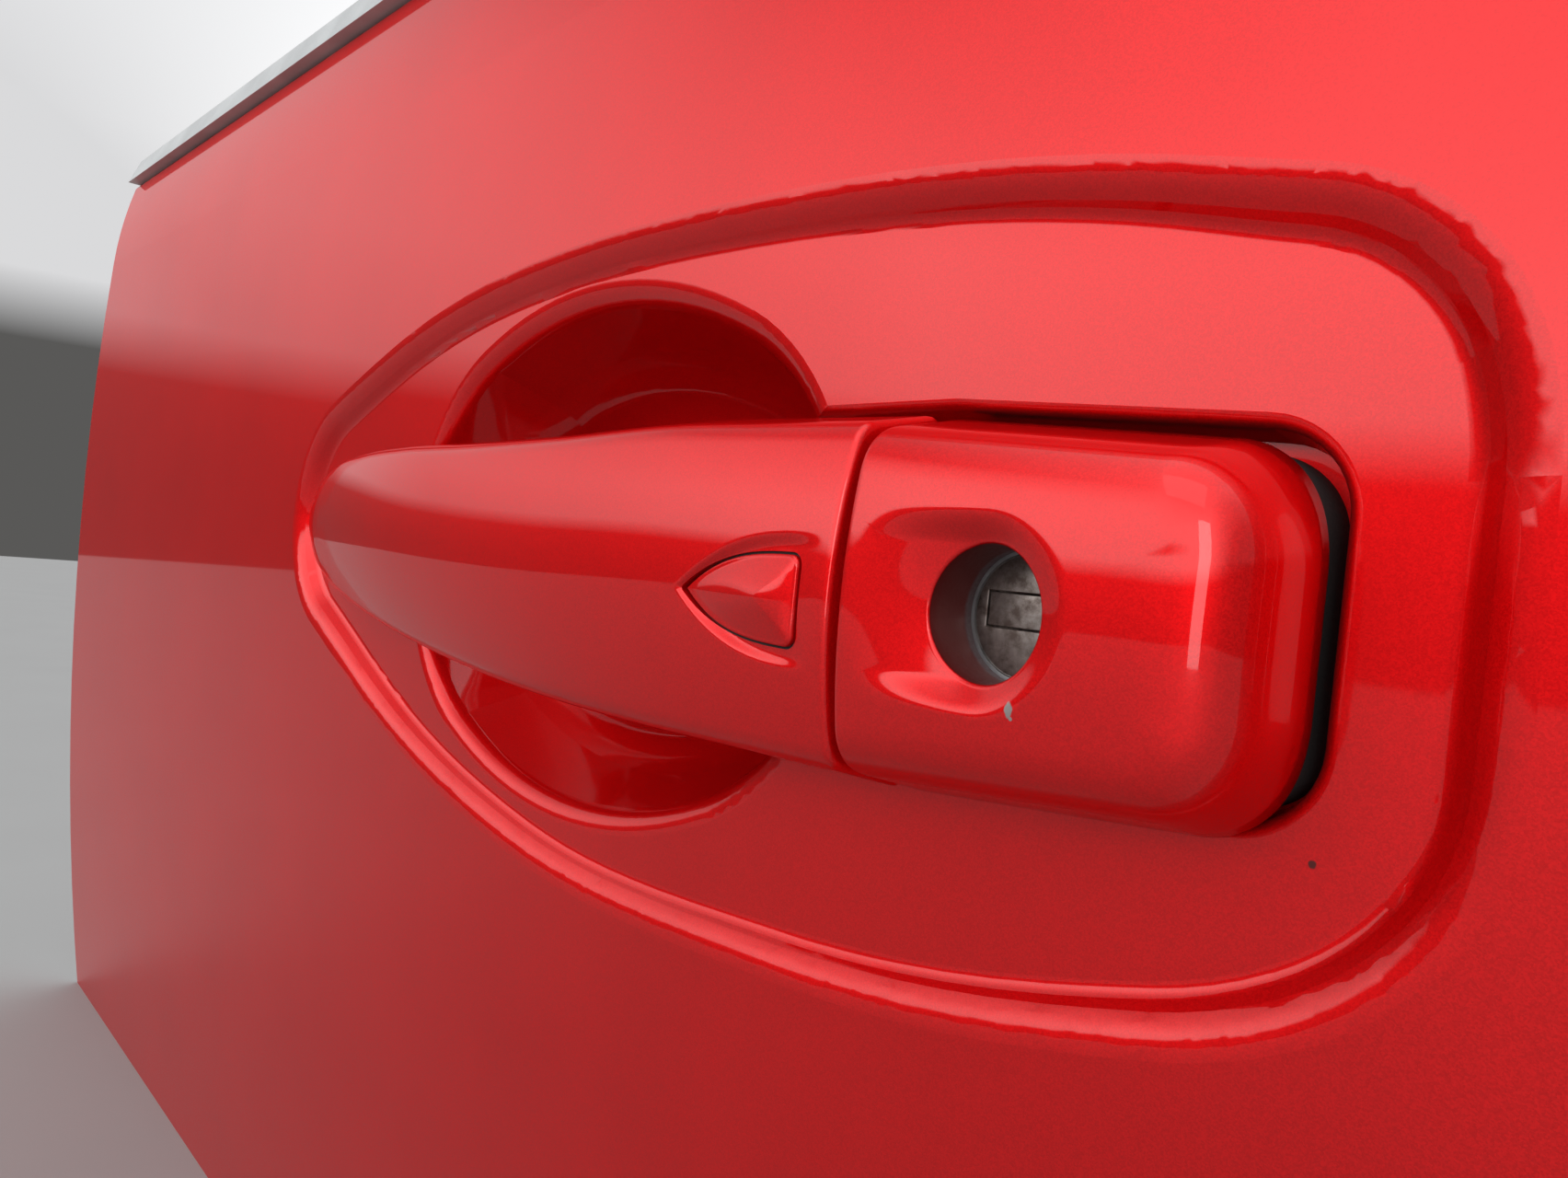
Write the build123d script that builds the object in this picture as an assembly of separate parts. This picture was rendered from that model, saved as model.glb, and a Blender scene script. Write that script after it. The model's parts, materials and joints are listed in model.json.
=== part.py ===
import os
from math import atan2, cos, degrees, radians, sin, sqrt, tan

from build123d import *

# A pull handle of a car's side door, set on a section of the door's pressed skin.
# Frame: +X to the car's rear, +Y into the door, +Z up. The origin lies on the handle's long
# axis, at the seam between the grip and the lock cap, on the floor of the pressed field.

# Door skin
skin_t = 0.9
skin_front_x = -420.0
skin_rear_x = 100.0
skin_low_z = -190.0
belt_z = 128.0
roll_z = 96.0
crest_y = -3.6
skin_r = 1400.0
roll_r = 150.0
fold_r = 3.0
flange_y = 14.0
block_back_y = 45.0

# Slab laid over a hollow's mouth, from which its rolled lip is cut
slab_t = 0.8
slab_spread = 0.25

# Pressed field round the handle; the lands are left between it and the cup
field_slope = 48.0
field_floor_r = 2.5
field_edge_r = 6.0
field_front_x = -190.3
field_rear_x = 54.7
field_land_top = 4.6
field_land_low = 6.8

# Finger cup behind the grip
cup_depth = 25.0
cup_centre_x = -76.2
cup_rise = 1.8
cup_half_x = 59.0
cup_half_z = 42.2
cup_slope = 22.0
cup_floor_r = 18.0
cup_lip_r = 4.5
cup_margin = 5.0

# Grip: x, rise, half height, front, widest, back, crown, front radius and back radius of each section
grip_sections = [
    (-0.7, 0.15, 22.0, -17.5, -1.5, 1.5, 3.0, 4.0, 1.5),
    (-20, 0.06, 22.18, -18.15, -2.73, 0.27, 3.12, 4.12, 2.12),
    (-32, 0.0, 22.3, -18.5, -3.5, -0.5, 3.2, 4.2, 2.5),
    (-64, -0.5, 21.4, -18.7, -4.8, -1.3, 3.6, 4.5, 3.0),
    (-96, 0.0, 20.1, -17.2, -4.9, -1.5, 3.9, 4.4, 2.8),
    (-126, 1.2, 18.6, -14.3, -4.2, -1.4, 3.9, 3.8, 2.0),
    (-151, 2.3, 16.4, -10.5, -3.1, -1.3, 3.3, 2.9, 1.1),
    (-170, 3.1, 13.2, -7.0, -2.3, -1.2, 2.3, 1.6, 0.5),
    (-182, 3.2, 8.8, -4.6, -1.9, -1.2, 1.3, 0.9, 0.3),
    (-188, 3.3, 4.2, -2.9, -1.7, -1.2, 0.5, 0.4, 0.15)]
side_flare = 13.0
seam_gap = 1.3
seam_roll_r = 0.8
split_rear_y = -3.0
split_mid_y = -6.0
split_tip_x = -172.0
split_tip_y = -3.4
nose_rise = 3.2

# Lock cap at the rear of the grip
cap_length = 43.2
cap_lift = 0.4
gasket_inset = 0.8
cap_half_rear = 18.5
cap_face_fall = 0.6
cap_corner_r = 8.5
cap_edge_r = 4.0
cap_wall = 2.6
pocket_gap_top = 1.1
pocket_gap_low = -1.8
pocket_gap_rear = 0.9
pocket_depth = 6.0
pocket_slope = 8.0
pocket_lip_r = 1.4
pocket_start_x = -46.0

# Key hole, its dished approach and the lock behind it
key_x = 18.2
hole_r = 6.8
hole_depth = 9.3
dish_half = 9.9
dish_depth = 2.1
dish_reach = 16.6
dish_slope = 40.0
dish_lip_r = 0.8
hole_wall = 2.4
plug_r = 6.4
plug_set = 0.3
housing_wall = 4.2
housing_back_y = 33.0
shutter_width = 9.8
shutter_height = 3.8
shutter_rise = 0.5
running_gap = 0.05
plug_tail = 6.0
tail_crank = 17.0
tail_t = 2.5
lock_eye_r = 2.0

# Unlock button in the grip
button_tip_x = -24.7
button_rear_x = -5.8
button_half = 4.95
button_z = -1.05
button_rise = 2.55
button_apex_x = -8.7
brow_set = 0.15
brow_wall = 0.6
brow_slope = 38.0
brow_tip_gap = 0.9
brow_open = 2.6
brow_reach = 1.2
button_lean = 42.0
button_edge = 0.3
button_well = 4.0
button_ridge_r = 0.7
button_corner_r = 1.2
gasket_w = 0.7

# Seat clearance between stacked pieces, and gaskets
seat_gap = 0.3
gasket_t = 1.2
front_pad_rim = 3.5
window_play = 2.0
window_front_play = 3.5

# Bracket behind the skin
bracket_t = 3.0
plate_rear_x = 60.0
plate_half = 33.0
window_front_x = -14.8
window_half = 13.0
nose_plate_front_x = -197.0
nose_plate_rear_x = -146.0
nose_plate_half = 15.0
beam_half = 12.0
beam_gap = 1.2

# Front pivot of the grip
pivot_x = -186.0
pivot_y = 9.0
pin_r = 2.5
boss_r = 5.0
arm_half = 5.0
arm_front_x = -178.0
arm_rear_x = -165.0
ear_t = 3.0
side_play = 0.5

# Tail of the grip, release lever and its pin
tail_x = -8.0
tail_width = 9.0
tail_t_z = 4.5
tail_low_z = 5.0
foot_y = 44.0
foot_t = 4.0
foot_lap = 1.6
lever_tip_r = 3.0
lever_tip_z = -2.0
lever_clear = 0.8
lever_arm = 32.4
lever_lean = 22.5
lever_hub_r = 6.0
lever_hub_length = 17.0
lever_arm_t = 7.0
rod_arm_y = 17.0
rod_arm_z = -10.0
rod_eye_r = 2.1
rod_eye_wall = 2.6
rod_arm_t = 4.0
weight_r = 6.5
weight_drop = 18.0
weight_back = 2.0
weight_core_r = 3.0
weight_t = 5.0
arm_root_half = 4.5
lever_tip_half = 1.9
rod_arm_half = 3.6

# Screw that holds the lock in the bracket
screw_y = 24.0
screw_r = 2.9
screw_head_r = 5.0
screw_head_t = 4.0
lug_x = 42.0

# Belt moulding
moulding_h = 10.0
moulding_t = 7.0


def biarc(p0, a0, p1, a1):
    """Two tangent arcs from one point and heading to the next, or a line if they are in line."""
    t0 = (cos(radians(a0)), sin(radians(a0)))
    t1 = (cos(radians(a1)), sin(radians(a1)))
    v = (p1[0] - p0[0], p1[1] - p0[1])
    dot = t0[0] * t1[0] + t0[1] * t1[1]
    if dot > 1 - 1e-9:
        return [Line(p0, p1)]
    along = v[0] * (t0[0] + t1[0]) + v[1] * (t0[1] + t1[1])
    square = v[0] ** 2 + v[1] ** 2
    d = (sqrt(along ** 2 + 2 * (1 - dot) * square) - along) / (2 * (1 - dot))
    q0 = (p0[0] + d * t0[0], p0[1] + d * t0[1])
    q1 = (p1[0] - d * t1[0], p1[1] - d * t1[1])
    mid = ((q0[0] + q1[0]) / 2, (q0[1] + q1[1]) / 2)
    return [TangentArc(p0, mid, tangent=t0), TangentArc(mid, p1, tangent=(q1[0] - q0[0], q1[1] - q0[1]))]


def closed_outline(stations):
    """Face inside a smooth closed line through stations of x, z and heading."""
    edges = []
    for here, there in zip(stations, stations[1:] + stations[:1]):
        edges += biarc(here[:2], here[2], there[:2], there[2])
    return make_face(Curve() + edges)


def front_plane(y):
    """Plane seen from outside: its x is +X, its y is +Z and its normal points outwards."""
    return Plane(origin=(0, y, 0), x_dir=(1, 0, 0), z_dir=(0, -1, 0))


def side_plane(x, rise=0.0):
    """Cross plane: its x is +Z, its y points outwards and its normal is +X."""
    return Plane(origin=(x, 0, rise), x_dir=(0, 0, 1), z_dir=(1, 0, 0))


def block(x0, x1, y0, y1, z0, z1):
    """Box between two corners."""
    return Pos((x0 + x1) / 2, (y0 + y1) / 2, (z0 + z1) / 2) * Box(x1 - x0, y1 - y0, z1 - z0)


def rod_x(r, x0, x1, y, z):
    """Round bar along X."""
    return Pos((x0 + x1) / 2, y, z) * Rot(0, 90, 0) * Cylinder(r, x1 - x0)


def rod_y(r, y0, y1, x, z):
    """Round bar along Y."""
    return Pos(x, (y0 + y1) / 2, z) * Rot(90, 0, 0) * Cylinder(r, y1 - y0)


def rod_z(r, z0, z1, x, y):
    """Round bar along Z."""
    return Pos(x, y, (z0 + z1) / 2) * Cylinder(r, z1 - z0)


def pressing(face, floor_y, reach, slope, grow):
    """Hollow with sloping walls over a floor outline, grown evenly into the sheet by grow."""
    shift = grow * (1 - sin(radians(slope))) / cos(radians(slope))
    floor = offset(face, shift) if grow else face
    return extrude(front_plane(floor_y + grow) * floor, reach + grow, taper=-slope)


def rolled_pressing(face, depth, slope, floor_r, lip_r, grow):
    """Hollow in the field's floor with a rounded bottom edge and a rolled lip at its mouth."""
    hollow = pressing(face, depth, depth, slope, grow)
    if floor_r:
        hollow = fillet(hollow.faces().sort_by(Axis.Y)[-1].edges(), floor_r + grow)
    radius = lip_r - grow
    mouth = hollow.faces().sort_by(Axis.Y)[0]
    spread = radius * tan(radians(45 - slope / 2)) + slab_spread
    slab = offset(face, depth * tan(radians(slope)) + grow / cos(radians(slope)) + spread)
    hollow += extrude(front_plane(grow) * slab, slab_t)
    lips = [e for e in hollow.edges() if is_lip(e, grow, mouth)]
    return fillet(lips, radius)


def is_lip(edge, grow, mouth):
    """True for the inward edges where a hollow's wall meets the slab laid over its mouth."""
    box, limit = edge.bounding_box(), mouth.bounding_box()
    flat = abs(box.min.Y - grow) < 0.01 and abs(box.max.Y - grow) < 0.01
    return flat and box.min.X > limit.min.X - 0.05 and box.max.X < limit.max.X + 0.05 \
        and box.min.Z > limit.min.Z - 0.05 and box.max.Z < limit.max.Z + 0.05


def pocket_face(gap_top, gap_low, gap_rear, start_x):
    """Outline of the cap's foot and of the grip's rear end, widened by the gaps."""
    half = grip_sections[0][2]
    rear = seam_gap / 2 + cap_length + gap_rear
    corners = Polyline((start_x, half + gap_top), (0, half + gap_top), (rear, cap_half_rear + gap_top),
                       (rear, -cap_half_rear - gap_low), (0, -half - gap_low), (start_x, -half - gap_low),
                       close=True)
    face = make_face(corners)
    return fillet(face.vertices().group_by(Axis.X)[-1], cap_corner_r)


def pocket_floor_face():
    """Outline of the pocket's floor, set in from its mouth by the walls' slope."""
    mouth = pocket_face(pocket_gap_top, pocket_gap_low, pocket_gap_rear, pocket_start_x)
    return offset(mouth, -pocket_depth * tan(radians(pocket_slope)))


def cup_face():
    """Oval outline of the cup's floor, worked back from its mouth."""
    back = cup_depth * tan(radians(cup_slope))
    a, b, c = cup_half_x - back, cup_half_z - back, cup_centre_x
    return closed_outline([(c - a, cup_rise, 90), (c, cup_rise + b, 0),
                           (c + a, cup_rise, -90), (c, cup_rise - b, 180)])


def skin_profile(grow, low_z, back_y):
    """Profile of the door in Y and Z, its outer line set in by grow."""
    r, r2 = skin_r - grow, roll_r - grow
    cy = crest_y + skin_r
    turn = roll_z / skin_r
    c2 = (cy - (skin_r - roll_r) * cos(turn), (skin_r - roll_r) * sin(turn))
    top = belt_z - grow

    def on_face(z):
        return (cy - sqrt(r * r - z * z), z)

    def on_roll(z):
        return (c2[0] - sqrt(r2 * r2 - (z - c2[1]) ** 2), z)

    knee_z = r * sin(turn)
    knee = (cy - r * cos(turn), knee_z)
    face_arc = ThreePointArc(on_face(low_z), on_face((low_z + knee_z) / 2), knee)
    roll_arc = ThreePointArc(knee, on_roll((knee_z + top) / 2), on_roll(top))
    rest = Polyline(on_roll(top), (back_y, top), (back_y, low_z), on_face(low_z))
    return make_face(Curve() + [face_arc, roll_arc] + rest.edges())


def field_stations():
    """Stations of the field's floor as x, z and heading: a drop with its point to the front."""
    top = cup_rise + cup_half_z + field_land_top
    low = cup_rise - cup_half_z - field_land_low
    front, rear = field_front_x, field_rear_x
    wide = cup_centre_x + 17
    return [(front, nose_rise + 1, 90), (front + 42, 0.73 * top, 19), (wide, top, 0),
            (rear - 54, 0.935 * top, -7), (rear - 24.6, 0.82 * top, -15), (rear - 7.5, 0.69 * top, -40),
            (rear, 0.31 * top, -90), (rear, 0.2 * low, -90), (rear - 12.1, 0.63 * low, -147),
            (rear - 35, 0.815 * low, -164.6), (rear - 74, 0.955 * low, -175.6), (wide, low, 180),
            (front + 82, 0.865 * low, 167), (front + 38, 0.55 * low, 156)]


def field_slope_width():
    """Width of the field's slope, seen from outside."""
    return -crest_y * tan(radians(field_slope))


def door_solid(grow):
    """Door volume behind the outer surface, set in by grow, with every pressing cut in it."""
    low_z = skin_low_z - (1 if grow else 0)
    back_y = block_back_y + (1 if grow else 0)
    front_x = skin_front_x - (1 if grow else 0)
    plane = Plane(origin=(front_x, 0, 0), x_dir=(0, 1, 0), z_dir=(1, 0, 0))
    solid = extrude(plane * skin_profile(grow, low_z, back_y), skin_rear_x - grow - front_x)
    solid = fillet([e for e in solid.edges() if is_fold(e, grow)], fold_r - grow)
    field = pressing(closed_outline(field_stations()), 0, 12, field_slope, grow)
    field = fillet(field.faces().sort_by(Axis.Y)[-1].edges(), field_floor_r + grow)
    solid -= field
    solid = fillet([e for e in solid.edges() if is_rim(e, grow)], field_edge_r - grow)
    cup = rolled_pressing(cup_face(), cup_depth, cup_slope, cup_floor_r, cup_lip_r, grow)
    pocket = rolled_pressing(pocket_floor_face(), pocket_depth, pocket_slope, 0, pocket_lip_r, grow)
    return solid - cup - pocket


def is_fold(edge, grow):
    """True for the two front edges where the sheet turns in at the belt and at the rear."""
    box = edge.bounding_box()
    at_rear = abs(box.min.X - (skin_rear_x - grow)) < 0.01 and box.max.Y < block_back_y / 2
    at_belt = abs(box.min.Z - (belt_z - grow)) < 0.01 and box.max.Y < block_back_y / 2
    return (at_rear and box.size.Z > 1) or (at_belt and box.size.X > 1)


def is_rim(edge, grow):
    """True for the edges where the field's slope meets the door's outer face."""
    box = edge.bounding_box()
    near_face = crest_y + grow - 0.1 < box.min.Y and box.max.Y < crest_y + grow + 1.5
    spread = field_slope_width() + 2
    in_x = box.min.X > field_front_x - spread and box.max.X < field_rear_x + spread
    return near_face and in_x and box.size.X + box.size.Z > 5


def arm_window():
    """Hole in the skin for the grip's front arm."""
    side = arm_half + window_play
    return block(arm_front_x - window_front_play, arm_rear_x + window_play, crest_y, -crest_y,
                 nose_rise - side, nose_rise + side)


def rear_window():
    """Hole in the pocket floor for the grip's tail and the lock."""
    y0, y1 = pocket_depth - gasket_t - 1, pocket_depth + skin_t + 2
    window = block(window_front_x, key_x, y0, y1, -window_half, window_half)
    return window + rod_y(window_half, y0, y1, key_x, 0)


def pressed_skin():
    """The whole sheet: outer face, folds, field, cup, pocket and windows."""
    skin = door_solid(0) - door_solid(skin_t)
    past = block_back_y + 5
    skin -= block(skin_rear_x - fold_r, skin_rear_x + 1, flange_y, past, skin_low_z - 1, belt_z + 1)
    skin -= block(skin_front_x - 1, skin_rear_x + 1, flange_y, past, belt_z - fold_r, belt_z + 1)
    return skin - arm_window() - rear_window()


def skin_pieces():
    """The sheet in three nodes, divided across on both sides of the cup."""
    skin = pressed_skin()
    reach = cup_half_x + cup_margin
    cuts = [skin_front_x - 1, cup_centre_x - reach, cup_centre_x + reach, skin_rear_x + 1]
    names = ["door_skin_front", "door_skin_cup", "door_skin_rear"]
    return {name: skin & block(x0, x1, -block_back_y, block_back_y, skin_low_z - 1, belt_z + 1)
            for name, x0, x1 in zip(names, cuts, cuts[1:])}


def grip_section(x, rise, half, front, wide, back, crown, front_r, back_r):
    """Cross-section of the grip: crowned front, flared sides and a rounded back."""
    edge_v = -front - crown
    edge_u = half - (edge_v + wide) * tan(radians(side_flare))
    front_arc = ThreePointArc((-edge_u, edge_v), (0, -front), (edge_u, edge_v))
    back_arc = ThreePointArc((half, -wide), (0, -back), (-half, -wide))
    sides = [Line((edge_u, edge_v), (half, -wide)), Line((-half, -wide), (-edge_u, edge_v))]
    face = make_face(Curve() + [front_arc, sides[0], back_arc, sides[1]])
    corners = face.vertices().sort_by(Axis.Y)
    face = fillet(corners[2:], front_r)
    low = [v for v in face.vertices() if abs(v.Y + wide) < 1e-6]
    return side_plane(x, rise) * fillet(low, back_r)


def grip_body():
    body = loft([grip_section(*row) for row in grip_sections])
    return fillet([e for e in body.edges() if is_seam_rim(e, grip_sections[0][0])], seam_roll_r)


def split_tool():
    """Everything behind the line where the grip's inner half meets its outer half."""
    arc = ThreePointArc((5, split_rear_y), (-75, split_mid_y), (split_tip_x, split_tip_y))
    rest = Polyline((split_tip_x, split_tip_y), (split_tip_x, 20), (5, 20), (5, split_rear_y))
    face = make_face(Curve() + [arc] + rest.edges())
    return extrude(Pos(0, 0, -40) * face, 80)


def button_face(grow=0.0):
    """Rounded triangle of the unlock button, seen from outside."""
    tip = (button_tip_x, button_z)
    top = (button_rear_x, button_z + button_half)
    low = (button_rear_x, button_z - button_half)
    lean = button_lean
    edges = biarc(tip, lean, top, 1) + [Line(top, low)] + biarc(low, 179, tip, 180 - lean)
    face = make_face(Curve() + edges)
    face = fillet(face.vertices().group_by(Axis.X)[-1], button_corner_r)
    return offset(face, grow) if grow else face


def half_space(base, ahead, aside):
    """Big block outside the plane through three points."""
    b, p, q = Vector(*base), Vector(*ahead), Vector(*aside)
    normal = (p - b).cross(q - b)
    if normal.Y > 0:
        normal = normal * -1
    plane = Plane(origin=b, z_dir=normal)
    return plane * Pos(0, 0, 50) * Box(200, 200, 100)


def brow_face():
    """Outline of the recess round the button: from the tip it opens wider than the button."""
    tip = button_tip_x - brow_tip_gap
    rear = button_rear_x + brow_reach
    top = (rear, button_z + button_half + brow_open)
    low = (rear, button_z - button_half - brow_open)
    edges = biarc((tip, button_z), button_lean, top, 8) + [Line(top, low)] \
        + biarc(low, 172, (tip, button_z), 180 - button_lean)
    return make_face(Curve() + edges)


def button_seat_y():
    """The brow's floor, measured at the middle, where the grip's face bulges in front of it."""
    return grip_sections[0][3] + brow_set


def crown_radius():
    """Radius of the crowned face where grip and cap meet."""
    half, front, wide, crown = (grip_sections[0][i] for i in (2, 3, 4, 6))
    edge_u = half + (front + crown - wide) * tan(radians(side_flare))
    return (edge_u ** 2 + crown ** 2) / (2 * crown)


def brow():
    """Recess round the button: sloping walls over a crowned floor, deepest at the tip."""
    seat = button_seat_y()
    walls = extrude(front_plane(seat + brow_wall) * brow_face(), 6 * brow_wall, taper=-brow_slope)
    return walls - rod_x(crown_radius(), 2 * button_tip_x, 0, seat + crown_radius(), 0)


def make_grip_outer(body):
    outer = body - split_tool() - brow()
    well = extrude(front_plane(button_seat_y() + button_well) * button_face(gasket_w), button_well + 4)
    return outer - well


def make_grip_inner(body):
    """Inner half with the front arm and the rear tail moulded on it."""
    inner = body & split_tool()
    stub = block(arm_front_x, arm_rear_x, -2.4, 2.5, nose_rise - arm_half, nose_rise + arm_half)
    arm = extrude(Pos(0, 0, nose_rise - arm_half) * make_face(Polyline(
        (arm_front_x, 2), (arm_rear_x, 2), (pivot_x + 3, pivot_y + boss_r - 1),
        (pivot_x, pivot_y + boss_r), (pivot_x - 3.5, pivot_y - 3.5), close=True)), 2 * arm_half)
    boss = rod_z(boss_r, nose_rise - arm_half, nose_rise + arm_half, pivot_x, pivot_y)
    bore = rod_z(pin_r + running_gap, nose_rise - 20, nose_rise + 20, pivot_x, pivot_y)
    x0, x1 = tail_x - tail_width / 2, tail_x + tail_width / 2
    tail = block(x0, x1, 0, foot_y + foot_t, tail_low_z, tail_low_z + tail_t_z)
    foot = block(x0, x1, foot_y, foot_y + foot_t, lever_tip_z - foot_lap, tail_low_z + 1)
    return inner + (stub + arm + boss - bore - body) + ((tail + foot) - body)


def make_button():
    """Prism cut by an upper, a lower and a rear plane that meet at the apex."""
    seat = button_seat_y()
    apex = (button_apex_x, seat - button_rise, button_z)
    button = extrude(front_plane(seat + button_well) * button_face(), button_well + button_rise + 1)
    tip = (button_tip_x, seat - button_edge, button_z)
    for side in (1, -1):
        corner = (button_rear_x, seat - button_edge, button_z + side * button_half)
        button -= half_space(apex, tip, corner)
    rear = button_rear_x
    button -= half_space(apex, (rear, seat - button_edge, button_z + button_half),
                         (rear, seat - button_edge, button_z - button_half))
    ridges = [e for e in button.edges() if e.bounding_box().min.Y < seat - button_rise + 0.1]
    return fillet(ridges, button_ridge_r)


def make_button_gasket():
    ring = button_face(gasket_w - 0.02) - button_face(0.02)
    return extrude(front_plane(button_seat_y() + button_well) * ring, button_well - 0.5)


def cap_foot_y():
    """The cap ends a little in front of the field's floor and stands on the black gasket."""
    return -cap_lift


def cap_block(set_in):
    """Cap's tapered block with flared walls under a crowned face, set in by set_in."""
    half, front, wide = (grip_sections[0][i] for i in (2, 3, 4))
    x0 = seam_gap / 2 + set_in
    x1 = seam_gap / 2 + cap_length - set_in
    past = 8.0
    side0, side1 = half - set_in, cap_half_rear - set_in
    grow = (side0 - side1) / (x1 - x0) * past
    outline = make_face(Polyline((x0 - past, side0 + grow), (x1, side1), (x1, -side1),
                                 (x0 - past, -side0 - grow), close=True))
    outline = fillet(outline.vertices().sort_by(Axis.X)[-2:], cap_corner_r - set_in)
    foot = cap_foot_y() + (1 if set_in else 0)
    walls = extrude(front_plane(foot) * outline, foot - wide)
    walls += extrude(front_plane(wide) * outline, wide - front + 1, taper=side_flare)
    crown_r = crown_radius()
    lean = degrees(atan2(cap_face_fall, cap_length))
    drum = Rot(0, 0, lean) * Rot(0, 90, 0) * Cylinder(crown_r - set_in, 4 * cap_length)
    drum = Pos(x0, front + crown_r, 0) * drum
    return (walls & drum) - block(x0 - 2 * past, x0, front - past, foot + past, -2 * half, 2 * half)


def make_lock_cap():
    front = grip_sections[0][3]
    cap = cap_block(0)
    rim = [e for e in cap.edges() if is_cap_rim(e, seam_gap / 2, front)]
    cap = fillet(rim, cap_edge_r)
    seam = [e for e in cap.edges() if is_seam_rim(e, seam_gap / 2)]
    cap = fillet(seam, seam_roll_r)
    cap -= cap_block(cap_wall)
    hole_floor = front + hole_depth
    cap += rod_y(hole_r + hole_wall, front + cap_wall, hole_floor, key_x, 0)
    cap -= rod_y(hole_r, front - 5, hole_floor + 1, key_x, 0)
    cap -= dish(front)
    lips = [e for e in cap.edges() if is_dish_lip(e, front)]
    return fillet(lips, dish_lip_r)


def is_cap_rim(edge, x0, front):
    """True for the edges between the cap's crowned face and its walls."""
    box = edge.bounding_box()
    return box.max.Y < front + 6.5 and box.size.Y < 5 and box.max.X > x0 + 1


def is_seam_rim(edge, x):
    """True for the front edges of a piece at its end face beside the seam."""
    box = edge.bounding_box()
    return abs(box.min.X - x) < 0.01 and abs(box.max.X - x) < 0.01 and box.min.Y < grip_sections[0][4] - 1


def is_dish_lip(edge, front):
    """True for the edges where the dish's walls meet the cap's face."""
    box = edge.bounding_box()
    in_dish = box.min.X > key_x - dish_reach + 5 and box.max.X < key_x + dish_half
    return in_dish and box.size.X > hole_r / 2 and box.max.Y < front + dish_depth / 2 + 0.2 \
        and max(abs(box.min.Z), abs(box.max.Z)) > hole_r + 1


def dish(front):
    """Dished approach to the key hole: a shallow cone kept between sloping walls and a round end."""
    wide = dish_half - dish_depth * tan(radians(dish_slope))
    past = key_x - 2 * dish_reach
    rear_arc = ThreePointArc((key_x, wide), (key_x + wide, 0), (key_x, -wide))
    sides = Polyline((key_x, -wide), (past, -wide), (past, wide), (key_x, wide))
    face = make_face(Curve() + [rear_arc] + sides.edges())
    walls = extrude(front_plane(front + dish_depth) * face, 2 * dish_depth, taper=-dish_slope)
    cone = Cone(hole_r, 2 * dish_reach - hole_r, 2 * dish_depth)
    return walls & (Pos(key_x, front, 0) * Rot(90, 0, 0) * cone)


def cap_foot_face(inset, seam_inset):
    """Outline of the cap's foot, set in all round."""
    behind_seam = Pos(seam_gap / 2 + seam_inset + cap_length, 0) * Rectangle(2 * cap_length, 4 * cap_length)
    return pocket_face(-inset, -inset, -inset, pocket_start_x) & behind_seam


def make_rear_gasket():
    """Pad between the cap's foot and the pocket's floor, hollow behind the cap."""
    inset = gasket_inset + cap_wall
    face = cap_foot_face(gasket_inset, 0) & offset(pocket_floor_face(), -seat_gap)
    hollow = cap_foot_face(inset, cap_wall)
    pad = extrude(front_plane(pocket_depth) * face, pocket_depth - cap_foot_y())
    pad -= extrude(front_plane(pocket_depth - gasket_t) * hollow, pocket_depth)
    return pad - rear_window()


def make_front_gasket():
    thick = -grip_sections[-1][5] - seat_gap
    pad = block(arm_front_x - 6, arm_rear_x + 15, -thick, 0,
                nose_rise - arm_half - front_pad_rim, nose_rise + arm_half + front_pad_rim)
    return fillet(pad.edges().filter_by(Axis.Y), front_pad_rim + 2) - arm_window()


def make_lock_housing():
    front = grip_sections[0][3] + hole_depth
    tube = rod_y(plug_r + housing_wall, front, housing_back_y, key_x, 0)
    return tube - rod_y(plug_r + running_gap, front - 1, housing_back_y + 1, key_x, 0)


def plug_face_y():
    """The plug's face lies a little behind the end of the key hole."""
    return grip_sections[0][3] + hole_depth + plug_set


def shutter_box(deep, grow):
    w, h = shutter_width / 2 + grow, shutter_height / 2 + grow
    return block(key_x - w, key_x + w, plug_face_y() - 1 if deep else plug_face_y() + 0.2,
                 plug_face_y() + 2 + (0.01 if deep else 0), shutter_rise - h, shutter_rise + h)


def make_lock_plug():
    plug = rod_y(plug_r, plug_face_y(), housing_back_y + plug_tail, key_x, 0)
    slot = block(key_x - 4.4, key_x + 4.4, plug_face_y() + 2, housing_back_y - 6,
                 shutter_rise - 1.4, shutter_rise + 1.4)
    return plug - shutter_box(True, 0.15) - slot


def make_key_shutter():
    return shutter_box(False, 0)


def make_lock_tail():
    y0 = housing_back_y + plug_tail
    disc = rod_y(plug_r + 1.4, y0, y0 + tail_t, key_x, 0)
    arm = block(key_x, key_x + tail_crank, y0, y0 + tail_t, -4, 4)
    end = rod_y(lock_eye_r + rod_eye_wall, y0, y0 + tail_t, key_x + tail_crank, 0)
    return disc + arm + end - rod_y(lock_eye_r, y0 - 1, y0 + tail_t + 1, key_x + tail_crank, 0)


def lever_pivot():
    """Y and Z of the release lever's pin."""
    travel = lever_arm * sin(radians(lever_lean))
    return (foot_y - lever_tip_r - lever_clear - travel,
            lever_tip_z - lever_arm * cos(radians(lever_lean)))


def lever_x():
    """First and last X of the lever's hub."""
    return (tail_x - tail_width / 2 - 2.5, tail_x - tail_width / 2 - 2.5 + lever_hub_length)


def plate_y():
    return pocket_depth + skin_t + seat_gap


def beam_y():
    return cup_depth + skin_t + beam_gap


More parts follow.
